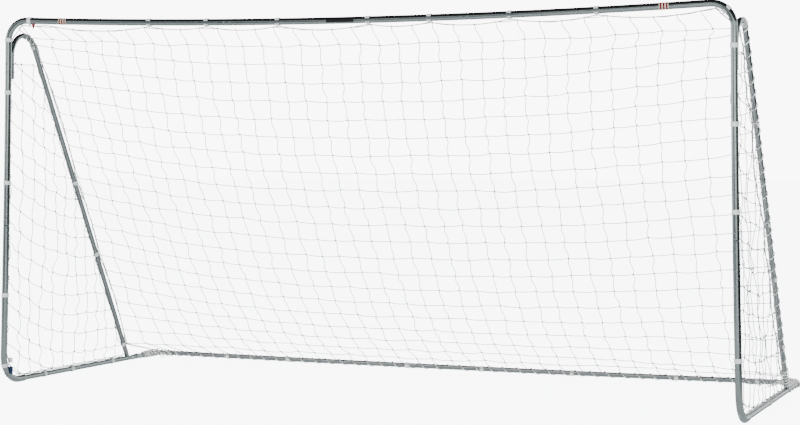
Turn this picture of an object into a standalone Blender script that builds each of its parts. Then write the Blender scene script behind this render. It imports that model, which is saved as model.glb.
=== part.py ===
"""A garden soccer goal of plug-together steel tubes with a knotted net.

Metres, +Z up, +X to the goal's right seen from the front, +Y to the rear. The origin is the middle
of the goal's box, on the ground.
"""

import math

import bmesh
import bpy
from mathutils import Matrix, Vector

for stale in list(bpy.data.objects):
    bpy.data.objects.remove(stale, do_unlink=True)

# Driving sizes of the assembled goal
goal_width = 3.66            # over the posts, just under the crossbar
goal_height = 1.827          # top of the crossbar at its corners
post_to_rear_bar = 1.514     # centre to centre, along the side bars
crossbar_sag = 0.040         # the long crossbar hangs down this far in the middle
rear_bar_bow = 0.050         # the tight net pulls the rear bar this far forward
foot_splay = 0.031           # each post leans out this far at its foot
splay_power = 1.5            # how late on its way down a post starts to lean

# Tubes
main_tube = 0.032            # crossbar and posts, outside diameter
thin_tube = 0.0254           # side bars, rear bar and backstays, outside diameter
main_wall = 0.0015
thin_wall = 0.0013
top_corner_radius = 0.10
foot_bend_radius = 0.13
rear_corner_radius = 0.06
tube_sides = 12

# Plugged joints: the thinner, swaged end of one tube slides into the next
plug_length = 0.060
foot_plug_length = 0.040     # the side bar's plug in the front bend
plug_room = 0.0004           # radial room of a plug in its sleeve
shoulder_length = 0.004
seam_gap = 0.0004
crossbar_seam = 0.61         # from the middle of the crossbar
post_seam = 0.795            # above the ground
foot_bend_reach = 0.180      # the 32 mm tube ends this far behind the post
side_bar_past_stay = 0.074   # the side bar ends this far behind the backstay's foot
rear_bar_seam = 0.612        # from the middle of the rear bar

# Backstays: a hook bolted behind the post, then two straight tubes down to the side bar
stay_foot_back = 1.180       # where the backstay meets the side bar, behind the post
stay_corner_rise = 0.215     # its line passes the hook's short leg this far above the goal's top
stay_upper_seam = 1.220      # above the ground
stay_lower_seam = 0.525
hook_radius = 0.108
hook_leg_length = 0.113      # straight part of the hook's short leg, below its bend
foot_stub_length = 0.085

# Bolts of the hooks
upper_bolt_drop = 0.039      # below the hook's bend
bolt_spacing = 0.039
bolt_diameter = 0.006
bolt_head_across = 0.010
bolt_head_thickness = 0.004
nut_thickness = 0.005
bolt_overhang = 0.004

# Snap buttons
button_diameter = 0.007
button_proud = 0.0022        # above the sleeve
button_from_seam = 0.030
button_dome = 0.0008
leaf_length = 0.022
leaf_width = 0.008
leaf_thickness = 0.0008
button_sides = 8

# Net clips
clip_length = 0.020
clip_wall = 0.002
clip_grip = 9                # how many of the tube's twelve facets the clip goes round
hook_tab = 0.006
hook_opening = 0.004
hook_lip = 0.004
ground_hook_tilt = math.radians(30)   # the rear bar's hooks point forward and this far up

# Where the clips sit: as shares of the half width, and above or below the seam of their tubes
crossbar_clip_shares = (-0.562, -0.184, 0.234, 0.666)
rear_bar_clip_shares = (-0.953, -0.540, -0.147, 0.361, 0.888)
post_clip_steps = {-1: (0.210, -0.348), 1: (0.120, -0.514)}
stay_clip_steps = {-1: (0.471, 0.085), 1: (0.312, -0.280)}

# Net
strand = 0.003
net_columns = 22
net_rows = 10
side_net_pitch = 0.22
net_belly_back = 0.700       # where the back net's curve is steered, as shares of
net_belly_down = 0.935       # the way back to the rear bar and down to the ground
edge_pull_power = 4          # how late towards its side edge the net leaves its slack curve
lace_below_hook = 0.110      # the lacing starts this far below the hook's bend
stay_lace_end = 0.130        # and ends at this height

touch = 0.0003               # room between pieces that rest on each other
cutter_overrun = 0.002       # a cutter starts this far outside what it cuts
ring_room = 0.003            # a tube's rings stay this far apart

# Straight runs that stand for each curve
bar_runs = 5
post_runs = 3
corner_runs = 5
rear_corner_runs = 4
hook_runs = 8
belly_runs = 12
crease_angle = math.radians(40)

main_r = main_tube / 2
thin_r = thin_tube / 2
main_bore = main_r - main_wall
thin_bore = thin_r - thin_wall
main_plug = main_bore - plug_room
thin_plug = thin_bore - plug_room
main_clip_r = main_r + touch + clip_wall
ground_clip_r = main_r       # the rear bar's clips reach the ground with the front bends
bolt_head_r = bolt_head_across / 2 / math.cos(math.pi / 6)
bolt_r = bolt_diameter / 2
thin_clip_r = thin_r + touch + clip_wall
foot_bore = thin_r + plug_room

ground_z = main_r
half_span = goal_width / 2 - main_r
beam_z = goal_height - main_r
side_bar_seam = stay_foot_back + side_bar_past_stay


def rear_bar_pull(x):
    """How far forward the net has pulled the rear bar at a distance from the goal's middle."""
    return rear_bar_bow * (1 - (x / half_span) ** 2)


# The box's middle lies midway between the bolt heads in front and the rear bar's outer clips behind
front_reach = main_r + touch + bolt_head_thickness
outer_clip_end = max(abs(share) for share in rear_bar_clip_shares) * half_span + clip_length / 2
rear_reach = max(thin_r - rear_bar_pull(half_span - rear_corner_radius),
                 ground_clip_r - rear_bar_pull(outer_clip_end))
post_y = (front_reach - rear_reach - post_to_rear_bar) / 2
rear_y = post_y + post_to_rear_bar

# The hook's short leg and the bolts that hold it, from front to back
head_y = post_y - main_r - touch
leg_y = post_y + main_r + touch + thin_r
nut_y = leg_y + thin_r + touch
stay_foot_y = post_y + stay_foot_back
stay_corner_z = goal_height + stay_corner_rise
stay_lean = math.atan((stay_foot_y - leg_y) / (stay_corner_z - ground_z))
hook_bend_z = stay_corner_z - hook_radius / math.tan(stay_lean / 2)
hook_leg_end = hook_bend_z - hook_leg_length
bolt_heights = (hook_bend_z - upper_bolt_drop, hook_bend_z - upper_bolt_drop - bolt_spacing)

X_AXIS = Vector((1, 0, 0))
Y_AXIS = Vector((0, 1, 0))
Z_AXIS = Vector((0, 0, 1))


def finish(name, color, roughness, metallic):
    """A plain material with the part's colour, roughness and metallic value."""
    material = bpy.data.materials.new(name)
    material.use_nodes = True
    shader = material.node_tree.nodes["Principled BSDF"]
    shader.inputs["Base Color"].default_value = (*color, 1)
    shader.inputs["Roughness"].default_value = roughness
    shader.inputs["Metallic"].default_value = metallic
    material.diffuse_color = (*color, 1)
    return material


galvanised = finish("galvanised_steel", (0.42, 0.45, 0.45), 0.32, 0.9)
zinc = finish("zinc_fastener", (0.55, 0.55, 0.53), 0.30, 1.0)
button_steel = finish("button_steel", (0.62, 0.62, 0.60), 0.22, 1.0)
clip_plastic = finish("clip_plastic", (0.62, 0.63, 0.63), 0.45, 0.0)
net_twine = finish("net_twine", (0.80, 0.81, 0.82), 0.85, 0.0)


class Route:
    """A centreline of straight runs, read by the distance along it from its start."""

    def __init__(self, points):
        self.points = [Vector(p) for p in points]
        self.marks = [0.0]
        for a, b in zip(self.points, self.points[1:]):
            self.marks.append(self.marks[-1] + (b - a).length)
        self.length = self.marks[-1]

    def run(self, distance):
        """Number of the straight run that holds this distance."""
        last = len(self.points) - 2
        return next((i for i in range(last) if distance < self.marks[i + 1]), last)

    def at(self, distance):
        i = self.run(distance)
        share = (distance - self.marks[i]) / (self.marks[i + 1] - self.marks[i])
        return self.points[i].lerp(self.points[i + 1], share)

    def heading(self, distance):
        """Direction of travel, shared by both runs at a point where they meet."""
        reach = 0.0005
        back = self.at(max(distance - reach, 0))
        on = self.at(min(distance + reach, self.length))
        return (on - back).normalized()

    def where(self, axis, value):
        """Distance at which the route first passes a coordinate's value."""
        for i, (a, b) in enumerate(zip(self.points, self.points[1:])):
            if min(a[axis], b[axis]) <= value <= max(a[axis], b[axis]) and a[axis] != b[axis]:
                share = (value - a[axis]) / (b[axis] - a[axis])
                return self.marks[i] + share * (self.marks[i + 1] - self.marks[i])
        raise ValueError("the route never passes that value")

    def inner_marks(self, start, end):
        return [m for m in self.marks if start + ring_room < m < end - ring_room]


def bend(before, corner, after, radius, steps):
    """Points of the arc that rounds a corner between two straight runs."""
    to_before = (before - corner).normalized()
    to_after = (after - corner).normalized()
    half = to_before.angle(to_after) / 2
    middle = (to_before + to_after).normalized()
    centre = corner + middle * (radius / math.sin(half))
    start = corner + to_before * (radius / math.tan(half)) - centre
    normal = to_before.cross(to_after).normalized()
    turn = math.pi - 2 * half
    return [centre + Matrix.Rotation(-turn * i / steps, 3, normal) @ start for i in range(steps + 1)]


def crossbar_z(x):
    return beam_z - crossbar_sag * (1 - (x / half_span) ** 2)


def post_x(z):
    """Distance of a post's centre from the middle of the goal at a height."""
    return half_span + foot_splay * max((beam_z - z) / beam_z, 0) ** splay_power


def side_x(y):
    """Distance of a side bar's centre from the middle, from the splayed foot to the rear corner."""
    share = (y - post_y) / post_to_rear_bar
    return post_x(ground_z) * (1 - share) + half_span * share


def rear_bar_y(x):
    return rear_y - rear_bar_pull(x)


def spaced(start, end, count):
    return [start + (end - start) * i / count for i in range(count + 1)]


def frame_route(side):
    """From the crossbar's middle down one post and along the ground to the rear bar's middle."""
    crossbar = [Vector((side * x, post_y, crossbar_z(x)))
                for x in spaced(0, half_span - 2 * top_corner_radius, bar_runs)]
    top = Vector((side * half_span, post_y, beam_z))
    post_heights = spaced(beam_z - 2 * top_corner_radius, ground_z + 2 * foot_bend_radius, post_runs)
    post = [Vector((side * post_x(z), post_y, z)) for z in post_heights]
    foot = Vector((side * post_x(ground_z), post_y, ground_z))
    rear = Vector((side * half_span, rear_y, ground_z))
    rear_bar = [Vector((side * x, rear_bar_y(x), ground_z))
                for x in spaced(half_span - 2 * rear_corner_radius, 0, bar_runs)]
    points = crossbar[:]
    points += bend(crossbar[-1], top, post[0], top_corner_radius, corner_runs)
    points += post
    points += bend(post[-1], foot, rear, foot_bend_radius, corner_runs)
    points += bend(foot, rear, rear_bar[0], rear_corner_radius, rear_corner_runs)
    points += rear_bar
    return Route(points)


def stay_route(side):
    """From the hook's short leg, over the bend, down the backstay to the side bar's centre."""
    leg_x = side * post_x(bolt_heights[0])
    foot = Vector((side * side_x(stay_foot_y), stay_foot_y, ground_z))
    leg_end = Vector((leg_x, leg_y, hook_leg_end))
    corner = Vector((leg_x, leg_y, stay_corner_z))
    return Route([leg_end] + bend(leg_end, corner, foot, hook_radius, hook_runs) + [foot])


def ring(centre, heading, side_hint, radius, count=tube_sides):
    """Corners of a polygon around a heading, a flat of it towards the hint at the given radius."""
    u = (side_hint - heading * side_hint.dot(heading)).normalized()
    v = heading.cross(u)
    angles = [2 * math.pi * (k + 0.5) / count for k in range(count)]
    corner_r = radius / math.cos(math.pi / count)
    return [centre + (u * math.cos(a) + v * math.sin(a)) * corner_r for a in angles]


def solid_from_rings(rings, hollow):
    """A closed mesh through rings of points: a shell whose last ring meets the first, or capped."""
    bm = bmesh.new()
    loops = [[bm.verts.new(p) for p in points] for points in rings]
    pairs = list(zip(loops, loops[1:]))
    if hollow:
        pairs.append((loops[-1], loops[0]))
    else:
        bm.faces.new(loops[0])
        bm.faces.new(loops[-1])
    for a, b in pairs:
        for i in range(len(a)):
            j = (i + 1) % len(a)
            bm.faces.new((a[i], a[j], b[j], b[i]))
    bmesh.ops.recalc_face_normals(bm, faces=bm.faces)
    return bm


def finished_mesh(name, bm, material):
    """A smooth-shaded mesh with sharp creases and its material."""
    mesh = bpy.data.meshes.new(name)
    bm.to_mesh(mesh)
    bm.free()
    mesh.shade_smooth()
    mesh.set_sharp_from_angle(angle=crease_angle)
    mesh.materials.append(material)
    return mesh


def make_object(name, bm, material, location=Vector()):
    """A named object from a mesh whose points are given in the goal's frame."""
    bmesh.ops.translate(bm, verts=bm.verts, vec=-location)
    obj = bpy.data.objects.new(name, finished_mesh(name, bm, material))
    obj.location = location
    bpy.context.collection.objects.link(obj)
    return obj


def place_copy(name, mesh, origin, x_axis, z_axis):
    """An object that shares a mesh, turned so that its own X and Z follow two directions."""
    y_axis = z_axis.cross(x_axis).normalized()
    turn = Matrix((x_axis, y_axis, x_axis.cross(y_axis))).transposed()
    obj = bpy.data.objects.new(name, mesh)
    obj.location = origin
    obj.rotation_euler = turn.to_euler()
    bpy.context.collection.objects.link(obj)
    return obj


def tube_rings(route, profile, side_hint, column):
    """Rings along a route whose radius follows one column of a profile of (distance, outer, bore)."""
    start, end = profile[0][0], profile[-1][0]
    marks = [row[0] for row in profile]
    marks += [m for m in route.inner_marks(start, end)
              if min(abs(m - row[0]) for row in profile) > ring_room]
    rings = []
    for mark in sorted(marks):
        after = next(i for i, row in enumerate(profile) if row[0] >= mark)
        low, high = profile[max(after - 1, 0)], profile[after]
        share = 1.0 if high[0] == low[0] else (mark - low[0]) / (high[0] - low[0])
        radius = low[column] + (high[column] - low[column]) * share
        rings.append(ring(route.at(mark), route.heading(mark), side_hint, radius))
    return rings


def tube(name, route, profile, side_hint, hollow=True):
    """A round tube along a route, its outside and bore given where they change."""
    outer = tube_rings(route, profile, side_hint, 1)
    inner = tube_rings(route, profile, side_hint, 2)[::-1] if hollow else []
    origin = route.at(profile[0][0])
    return make_object(name, solid_from_rings(outer + inner, hollow), galvanised, origin)


def cut(target, cutter):
    """Take the cutter's shape out of an object."""
    modifier = target.modifiers.new(cutter.name, "BOOLEAN")
    modifier.operation = "DIFFERENCE"
    modifier.solver = "EXACT"
    modifier.object = cutter
    cutter.hide_render = True
    cutter.display_type = "WIRE"


def drill(name, start, end, radius, sides, hint, targets):
    """Drill a straight hole through every target between two points."""
    way = (end - start).normalized()
    ends = [ring(point, way, hint, radius, sides) for point in (start, end)]
    bm = solid_from_rings(ends, False)
    cutter = make_object(name, bm, zinc, start)
    for target in targets:
        cut(target, cutter)


# The frame's tubes
sides = ((-1, "left"), (1, "right"))
frames = {side: frame_route(side) for side, _ in sides}
stays = {side: stay_route(side) for side, _ in sides}
tubes = {}
marks = {}


def plug_in(seam, plug_r, wall, full_r, bore, length=plug_length):
    """Profile of a tube that starts as a plug in the sleeve before its seam."""
    return [(seam - length, plug_r, plug_r - wall),
            (seam + seam_gap, plug_r, plug_r - wall),
            (seam + seam_gap + shoulder_length, full_r, bore)]


def plug_out(seam, plug_r, wall, full_r, bore):
    """Profile of a tube that ends as a plug in the sleeve after its seam."""
    return [(seam - seam_gap - shoulder_length, full_r, bore),
            (seam - seam_gap, plug_r, plug_r - wall),
            (seam + plug_length, plug_r, plug_r - wall)]


def across(side_points):
    """One route from the goal's left to its right through the points of its right half."""
    left = [Vector((-p.x, p.y, p.z)) for p in side_points[:0:-1]]
    return Route(left + side_points)


crossbar_route = across(frames[1].points[:bar_runs + 2])
rear_bar_route = across(frames[1].points[:-bar_runs - 3:-1])


def straight_sleeve(name, route, seam, side_hint, radius, bore):
    """A long tube that both of its neighbours plug into."""
    ends = (route.where(0, -seam), route.where(0, seam))
    tubes[name] = tube(name, route, [(end, radius, bore) for end in ends], side_hint)


straight_sleeve("crossbar_center", crossbar_route, crossbar_seam, Y_AXIS, main_r, main_bore)
straight_sleeve("rear_bar_center", rear_bar_route, rear_bar_seam, Z_AXIS, thin_r, thin_bore)

for side, word in sides:
    frame, stay = frames[side], stays[side]
    crossbar_mark = frame.where(0, side * crossbar_seam)
    post_mark = frame.where(2, post_seam)
    foot_mark = frame.where(1, post_y + foot_bend_reach)
    side_mark = frame.where(1, post_y + side_bar_seam)
    rear_mark = frame.length - (rear_bar_route.where(0, rear_bar_seam) - rear_bar_route.length / 2)
    stay_end_z = ground_z + thin_r + touch + thin_r * math.sin(stay_lean)
    stay_marks = [stay.where(2, z) for z in (stay_upper_seam, stay_lower_seam, stay_end_z)]
    marks[side] = (crossbar_mark, post_mark, foot_mark, side_mark, rear_mark, stay_marks)

    profile = plug_in(crossbar_mark, main_plug, main_wall, main_r, main_bore)
    profile += [(post_mark, main_r, main_bore)]
    tubes[word + "_top_corner"] = tube(word + "_top_corner", frame, profile, Y_AXIS)

    profile = plug_in(post_mark, main_plug, main_wall, main_r, main_bore)
    profile += [(foot_mark - foot_plug_length - shoulder_length, main_r, main_bore),
                (foot_mark - foot_plug_length, main_r, foot_bore),
                (foot_mark, main_r, foot_bore)]
    tubes[word + "_lower_post"] = tube(word + "_lower_post", frame, profile, X_AXIS)

    profile = plug_in(side_mark, thin_plug, thin_wall, thin_r, thin_bore)
    profile += plug_out(rear_mark, thin_plug, thin_wall, thin_r, thin_bore)
    tubes[word + "_rear_corner"] = tube(word + "_rear_corner", frame, profile, Z_AXIS)

    upper, lower, end = stay_marks
    tubes[word + "_stay_hook"] = tube(
        word + "_stay_hook", stay, [(0, thin_r, thin_bore), (upper, thin_r, thin_bore)], X_AXIS)
    profile = plug_in(upper, thin_plug, thin_wall, thin_r, thin_bore) + [(lower, thin_r, thin_bore)]
    tubes[word + "_stay_middle"] = tube(word + "_stay_middle", stay, profile, X_AXIS)
    profile = plug_in(lower, thin_plug, thin_wall, thin_r, thin_bore) + [(end, thin_r, thin_bore)]
    tubes[word + "_stay_lower"] = tube(word + "_stay_lower", stay, profile, X_AXIS)


def side_bar(side, word):
    """A side bar with the short stub welded on it that the backstay's lower end slides over."""
    frame, stay = frames[side], stays[side]
    foot_mark, side_mark, stay_end = marks[side][2], marks[side][3], marks[side][5][2]
    start = foot_mark - foot_plug_length
    name = word + "_side_bar"
    bar = tube(name, frame, [(start, thin_r, 0), (side_mark, thin_r, 0)], X_AXIS, hollow=False)
    stub_top = stay_end - foot_stub_length
    stub = tube(name + "_stub", stay, [(stub_top, thin_plug, 0), (stay.length, thin_plug, 0)],
                X_AXIS, hollow=False)
    weld = bar.modifiers.new("weld", "BOOLEAN")
    weld.operation = "UNION"
    weld.solver = "EXACT"
    weld.object = stub
    stub.hide_render = True
    stub.display_type = "WIRE"
    bore = tube(name + "_bore", frame, [(start - cutter_overrun, thin_bore, 0),
                                      (side_mark + cutter_overrun, thin_bore, 0)],
                X_AXIS, hollow=False)
    stub_bore = thin_plug - thin_wall
    stub_hole = tube(name + "_stub_bore", stay, [(stub_top - cutter_overrun, stub_bore, 0),
                                              (stay_end, stub_bore, 0)],
                     X_AXIS, hollow=False)
    cut(bar, bore)
    cut(bar, stub_hole)
    return bar


for side, word in sides:
    tubes[word + "_side_bar"] = side_bar(side, word)


# Snap buttons: a domed pin on a leaf spring inside the plug, out through a hole in plug and sleeve
def snap_button_mesh(sleeve_r, plug_bore):
    """The pin and its leaf along +Z from the tube's centreline, the leaf along X."""
    leaf_top = math.sqrt(plug_bore ** 2 - (leaf_width / 2) ** 2) - touch
    leaf_base = leaf_top - leaf_thickness
    top = sleeve_r + button_proud
    pin_r = button_diameter / 2

    def leaf_ring(z):
        long, wide, tip = leaf_length / 2, leaf_width / 2, leaf_width / 4
        corners = [(long, tip), (wide, wide), (-wide, wide), (-long, tip),
                   (-long, -tip), (-wide, -wide), (wide, -wide), (long, -tip)]
        return [Vector((x, y, z)) for x, y in corners]

    def pin_ring(z, radius):
        return ring(Vector((0, 0, z)), Z_AXIS, X_AXIS, radius, button_sides)

    rings = [leaf_ring(leaf_base), leaf_ring(leaf_top), pin_ring(leaf_top, pin_r),
             pin_ring(top - button_dome, pin_r), pin_ring(top, pin_r - button_dome)]
    return finished_mesh("snap_button", solid_from_rings(rings, False), button_steel)


main_button = snap_button_mesh(main_r, main_plug - main_wall)
foot_button = snap_button_mesh(main_r, thin_bore)
thin_button = snap_button_mesh(thin_r, thin_plug - thin_wall)


def snap_button(name, mesh, route, mark, facing, sleeve_r, targets):
    """A button at a place on a route, and the holes that it stands in."""
    centre, heading = route.at(mark), route.heading(mark)
    outward = (facing - heading * facing.dot(heading)).normalized()
    place_copy(name, mesh, centre, heading, outward)
    start = centre + outward * (leaf_width / 2)
    end = centre + outward * (sleeve_r + 2 * button_proud)
    hole_r = button_diameter / 2 + touch
    drill(name + "_hole", start, end, hole_r, button_sides, heading, [tubes[t] for t in targets])


for side, word in sides:
    frame, stay = frames[side], stays[side]
    crossbar_mark, post_mark, foot_mark, side_mark, rear_mark, stay_marks = marks[side]
    inward = -side * X_AXIS
    places = [
        ("crossbar", main_button, frame, crossbar_mark - button_from_seam, -Y_AXIS, main_r,
         ("crossbar_center", word + "_top_corner")),
        ("post", main_button, frame, post_mark - button_from_seam, -Y_AXIS, main_r,
         (word + "_top_corner", word + "_lower_post")),
        ("front_bend", foot_button, frame, foot_mark - foot_plug_length / 2, inward, main_r,
         (word + "_lower_post", word + "_side_bar")),
        ("side_bar", thin_button, frame, side_mark - button_from_seam, inward, thin_r,
         (word + "_side_bar", word + "_rear_corner")),
        ("rear_bar", thin_button, frame, rear_mark + button_from_seam, -Y_AXIS, thin_r,
         (word + "_rear_corner", "rear_bar_center")),
        ("stay_upper", thin_button, stay, stay_marks[0] - button_from_seam, -Y_AXIS, thin_r,
         (word + "_stay_hook", word + "_stay_middle")),
        ("stay_lower", thin_button, stay, stay_marks[1] - button_from_seam, -Y_AXIS, thin_r,
         (word + "_stay_middle", word + "_stay_lower")),
        ("stay_foot", thin_button, stay, stay_marks[2] - foot_stub_length / 2, -Y_AXIS, thin_r,
         (word + "_stay_lower", word + "_side_bar")),
    ]
    for place, mesh, route, mark, facing, sleeve_r, targets in places:
        snap_button(word + "_" + place + "_button", mesh, route, mark, facing, sleeve_r, targets)


# Bolts through each post and the short leg of the hook behind it, each with a hexagon nut
def hexagon(centre, heading, radius):
    """Twelve points on a hexagon: its corners and the middles of its sides."""
    points = ring(centre, heading, Z_AXIS, radius, 12)
    reach = [radius, radius * math.cos(math.pi / 6)]
    return [centre + (p - centre).normalized() * reach[i % 2] for i, p in enumerate(points)]


for side, word in sides:
    for height, level in zip(bolt_heights, ("upper", "lower")):
        x = side * post_x(height)
        tip = Vector((x, nut_y + nut_thickness + bolt_overhang, height))
        head = Vector((x, head_y, height))
        front = Vector((x, head_y - bolt_head_thickness, height))
        nut_front, nut_back = Vector((x, nut_y, height)), Vector((x, nut_y + nut_thickness, height))
        rings = [ring(tip, -Y_AXIS, Z_AXIS, bolt_r, 12), ring(head, -Y_AXIS, Z_AXIS, bolt_r, 12),
                 hexagon(head, -Y_AXIS, bolt_head_r), hexagon(front, -Y_AXIS, bolt_head_r)]
        make_object(word + "_" + level + "_bolt", solid_from_rings(rings, False), zinc, head)
        rings = [hexagon(nut_front, Y_AXIS, bolt_head_r), hexagon(nut_back, Y_AXIS, bolt_head_r),
                 ring(nut_back, Y_AXIS, Z_AXIS, bolt_r + touch, 12),
                 ring(nut_front, Y_AXIS, Z_AXIS, bolt_r + touch, 12)]
        make_object(word + "_" + level + "_nut", solid_from_rings(rings, True), zinc, nut_front)
        drill(word + "_" + level + "_bolt_hole", front, tip, bolt_r + touch, 12, Z_AXIS,
              [tubes[word + "_top_corner"], tubes[word + "_stay_hook"]])


# Net clips: plastic springs that snap over a tube and hold the net's edge cord in a small hook
def clip_mesh(tube_r, clip_r):
    """The clip's outline round a tube along X, its hook towards +Z, drawn out to its length."""
    grip = [2 * math.pi * (k - clip_grip / 2) / tube_sides for k in range(clip_grip + 1)]

    def arc(radius, angles):
        corner_r = radius / math.cos(math.pi / tube_sides)
        return [(corner_r * math.sin(a), corner_r * math.cos(a)) for a in angles]

    middle = len(grip) // 2
    tab_top = clip_r + hook_tab
    outline = arc(clip_r, grip[:middle]) + [(0, clip_r), (0, clip_r + hook_opening)]
    outline += [(-hook_lip, clip_r + hook_opening), (-hook_lip, tab_top), (clip_wall, tab_top)]
    outline += [(clip_wall, clip_r)] + arc(clip_r, grip[middle:])
    outline += arc(tube_r + touch, grip[::-1])
    bm = bmesh.new()
    face = bm.faces.new([bm.verts.new((-clip_length / 2, y, z)) for y, z in outline])
    drawn = bmesh.ops.extrude_face_region(bm, geom=[face])
    moved = [g for g in drawn["geom"] if isinstance(g, bmesh.types.BMVert)]
    bmesh.ops.translate(bm, verts=moved, vec=(clip_length, 0, 0))
    bmesh.ops.recalc_face_normals(bm, faces=bm.faces)
    return finished_mesh("net_clip", bm, clip_plastic)


def cord_seat(centre, along, hook, clip_r):
    """Where the net's edge cord lies in the hook of a clip on a tube at this centre."""
    across_hook = hook.cross(along).normalized()
    room = strand / 2 + (hook_opening - strand) / 2
    return centre + hook * (clip_r + hook_opening / 2) - across_hook * room


main_clip = clip_mesh(main_r, main_clip_r)
thin_clip = clip_mesh(thin_r, thin_clip_r)
ground_clip = clip_mesh(thin_r, ground_clip_r)
ground_hook = Vector((0, -math.cos(ground_hook_tilt), math.sin(ground_hook_tilt)))

crossbar_clips = [share * half_span for share in crossbar_clip_shares]
rear_bar_clips = [share * half_span for share in rear_bar_clip_shares]
post_clips = {side: [post_seam + step for step in post_clip_steps[side]] for side, _ in sides}
stay_clips = {side: [stay_lower_seam + step for step in stay_clip_steps[side]] for side, _ in sides}

for number, x in enumerate(crossbar_clips, 1):
    mark = crossbar_route.where(0, x)
    place_copy(f"crossbar_clip_{number}", main_clip, crossbar_route.at(mark),
               crossbar_route.heading(mark), -Z_AXIS)

for number, x in enumerate(rear_bar_clips, 1):
    side = math.copysign(1, x)
    frame = frames[side]
    from_middle = frame.length - abs(x)
    centre, along = frame.at(from_middle), -side * frame.heading(from_middle)
    place_copy(f"rear_bar_clip_{number}", ground_clip, centre, along, ground_hook)

for side, word in sides:
    frame, stay = frames[side], stays[side]
    for number, z in enumerate(post_clips[side], 1):
        mark = frame.where(2, z)
        place_copy(f"{word}_post_clip_{number}", main_clip, frame.at(mark), frame.heading(mark), Y_AXIS)
    for number, z in enumerate(stay_clips[side], 1):
        mark = stay.where(2, z)
        place_copy(f"{word}_stay_clip_{number}", thin_clip, stay.at(mark), stay.heading(mark),
                   -side * X_AXIS)


# The net: knotted twine, as the lattice of its strands
def lattice(name, bm):
    """Turn a mesh of cells into strands along its edges."""
    net = make_object(name, bm, net_twine)
    wires = net.modifiers.new("strands", "WIREFRAME")
    wires.thickness = strand
    wires.offset = 0
    wires.use_replace = True
    wires.use_boundary = True
    wires.use_even_offset = True
    return net


def curve_points(a, control, b, count):
    """Points of a curve that leaves a towards the control point and reaches b from it."""
    shares = [i / count for i in range(count + 1)]
    return [a * (1 - t) ** 2 + control * 2 * t * (1 - t) + b * t ** 2 for t in shares]


def crossbar_seat(x):
    mark = crossbar_route.where(0, x)
    return cord_seat(crossbar_route.at(mark), X_AXIS, -Z_AXIS, main_clip_r)


def rear_bar_seat(x):
    mark = rear_bar_route.where(0, x)
    return cord_seat(rear_bar_route.at(mark), X_AXIS, ground_hook, ground_clip_r)


def stay_seat(side, z):
    stay = stays[side]
    mark = stay.where(2, z)
    return cord_seat(stay.at(mark), stay.heading(mark), -side * X_AXIS, thin_clip_r)


net_top_half = half_span - top_corner_radius - clip_length / 2
net_bottom_half = half_span - 2 * rear_corner_radius
stay_lace_top = stays[1].points[-2].z - lace_below_hook
edges = {side: Route([crossbar_seat(side * net_top_half), stay_seat(side, stay_lace_top),
                      stay_seat(side, stay_lace_end), rear_bar_seat(side * net_bottom_half)])
         for side, _ in sides}


def hung_point(u, v):
    """A point of the slack net as it hangs between the crossbar and the rear bar."""
    top = crossbar_seat(u * net_top_half)
    bottom = rear_bar_seat(u * net_bottom_half)
    control = Vector((0, top.y + net_belly_back * (bottom.y - top.y),
                      top.z + net_belly_down * (bottom.z - top.z)))
    belly = Route(curve_points(top, control, bottom, belly_runs))
    return belly.at(v * belly.length)


def back_net_point(u, v):
    """A point of the back net, u from side to side and v from the crossbar to the rear bar."""
    side = -1 if u < 0 else 1
    edge = edges[side].at(v * edges[side].length)
    hung = hung_point(u, v)
    pull = (edge - hung_point(side, v)) * u ** edge_pull_power
    return Vector((abs(u) * edge.x, hung.y + pull.y, hung.z + pull.z))


def beside_clips(place, clips):
    """Move an edge knot along its edge so that its strand leaves beside a clip, not through it."""
    reach = clip_length / 2 + strand
    for clip in clips:
        if abs(place - clip) < reach:
            return clip + math.copysign(reach, place - clip)
    return place


def back_net():
    bm = bmesh.new()
    bmesh.ops.create_grid(bm, x_segments=net_columns, y_segments=net_rows, size=1)
    stay_knots = {side: [edges[side].where(2, z) for z in stay_clips[side]] for side, _ in sides}
    for vert in bm.verts:
        u, v = vert.co.x, (1 - vert.co.y) / 2
        if v < 0.5 / net_rows:
            u = beside_clips(u * net_top_half, crossbar_clips) / net_top_half
        elif v > 1 - 0.5 / net_rows:
            u = beside_clips(u * net_bottom_half, rear_bar_clips) / net_bottom_half
        elif abs(u) > 1 - 0.5 / net_columns:
            side = -1 if u < 0 else 1
            v = beside_clips(v * edges[side].length, stay_knots[side]) / edges[side].length
        vert.co = back_net_point(u, v)
    bmesh.ops.recalc_face_normals(bm, faces=bm.faces)
    return lattice("back_net", bm)


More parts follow.
